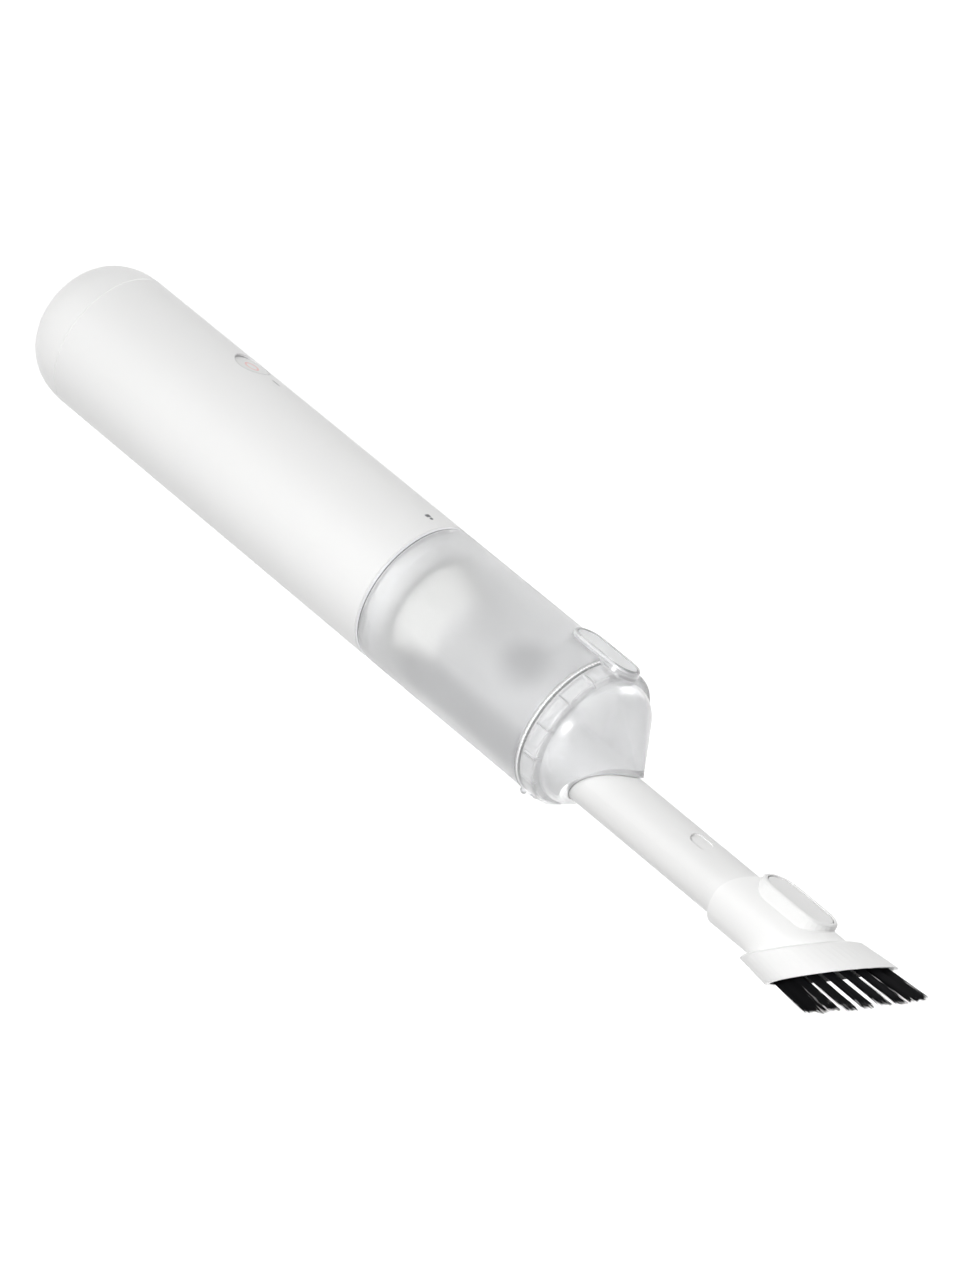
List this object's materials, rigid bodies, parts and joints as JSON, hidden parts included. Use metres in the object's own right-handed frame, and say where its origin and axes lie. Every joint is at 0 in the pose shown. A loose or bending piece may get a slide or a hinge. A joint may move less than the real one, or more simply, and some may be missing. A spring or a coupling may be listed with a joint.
{
  "type": "handheld car vacuum cleaner",
  "caption": "Slim upright hand vacuum with a round white body, frosted dust cup, clear hinged nose, crevice nozzle and a sliding slanted brush head.",
  "frame": {"origin": "centre of the flat rear end, on the axis of the round body", "axes": "+Z along the body from the rear end to the brush, -Y towards the power, release and brush buttons, +X towards the side shown in the picture"},
  "size_m": [0.06, 0.0624, 0.4717],
  "materials": {
    "white_shell": "satin",
    "frosted_cup": "frosted, lets light through",
    "clear_cover": "clear and glossy",
    "bright_metal": "satin",
    "rubber": "matte",
    "bristle": "matte",
    "inner_plastic": "matte",
    "circuit_board": "satin",
    "copper": "satin",
    "filter_paper": "matte",
    "status_lens": "glossy, glows when the cleaner runs",
    "battery_wrap": "glossy"
  },
  "bodies": {
    "housing": {"rear_cap": "white_shell", "exhaust_foam": "rubber", "charge_port": "bright_metal", "charge_board": "circuit_board", "body_tube": "white_shell", "battery_holder": "inner_plastic", "battery_cells": "battery_wrap", "cell_links": "bright_metal", "control_board": "circuit_board", "power_switch": "inner_plastic", "status_light": "status_lens", "motor_sleeve": "inner_plastic", "motor_mounts": "rubber", "motor_support": "inner_plastic", "motor_can": "bright_metal", "motor_end": "bright_metal", "motor_bearings": "bright_metal", "motor_stator": "bright_metal", "motor_coils": "copper", "diffuser": "inner_plastic", "fan_shroud": "white_shell", "bulkhead": "white_shell", "bulkhead_screws": "bright_metal", "trim_ring": "bright_metal", "neck_seal": "rubber", "filter_seal": "rubber", "filter_frame": "white_shell", "hepa_filter": "filter_paper", "filter_cap": "white_shell"},
    "power_key": {"power_button": "white_shell", "light_ring": "status_lens"},
    "rotor": {"rotor_shaft": "bright_metal", "rotor_core": "bright_metal", "impeller": "inner_plastic", "impeller_nut": "bright_metal"},
    "cup": {"dust_cup": "frosted_cup", "release_frame": "frosted_cup", "hinge_pin": "bright_metal"},
    "release_key": {"release_button": "white_shell"},
    "cover": {"front_cover": "clear_cover", "cover_gasket": "rubber", "flap_pin": "bright_metal"},
    "flap": {"inlet_flap": "rubber"},
    "nozzle": {"nozzle_tube": "white_shell", "nozzle_seal": "rubber"},
    "brush": {"brush_body": "white_shell", "rocker_pin": "bright_metal", "bristles_top": "bristle", "bristles_bottom": "bristle", "bristles_left": "bristle", "bristles_right": "bristle"},
    "brush_key": {"brush_button": "white_shell"}
  },
  "joints": [
    {"name": "power_button_press", "type": "slide", "parent": "housing", "child": "power_key", "axis": [0, 1, 0], "range_m": [0, 0.0008], "stiffness_N_per_m": 400, "springref_m": -0.001},
    {"name": "rotor_spin", "type": "hinge", "parent": "housing", "child": "rotor", "pos_m": [0, 0, 0.146], "axis": [0, 0, 1], "continuous": true},
    {"name": "cup_twist", "type": "hinge", "parent": "housing", "child": "cup", "pos_m": [0, 0, 0.2047], "axis": [0, 0, 1], "range_deg": [0, 20]},
    {"name": "release_press", "type": "slide", "parent": "cup", "child": "release_key", "axis": [0, 1, 0], "range_m": [0, 0.0012], "stiffness_N_per_m": 400, "springref_m": -0.001},
    {"name": "cover_hinge", "type": "hinge", "parent": "cup", "child": "cover", "pos_m": [0, 0.0297, 0.2916], "axis": [-1, 0, 0], "range_deg": [0, 90]},
    {"name": "flap_hinge", "type": "hinge", "parent": "cover", "child": "flap", "pos_m": [0, -0.0036, 0.2866], "axis": [-1, 0, 0], "range_deg": [0, 60], "stiffness_Nm_per_rad": 0.005, "springref_deg": -17.19},
    {"name": "nozzle_slide", "type": "slide", "parent": "cover", "child": "nozzle", "axis": [0, 0, 1], "range_m": [0, 0.018]},
    {"name": "brush_slide", "type": "slide", "parent": "nozzle", "child": "brush", "axis": [0, 0, 1], "range_m": [-0.0342, 0]},
    {"name": "brush_rocker", "type": "hinge", "parent": "brush", "child": "brush_key", "pos_m": [0, -0.0024, 0.4119], "axis": [-1, 0, 0], "range_deg": [0, 4], "stiffness_Nm_per_rad": 0.02, "springref_deg": -5.73}
  ]
}
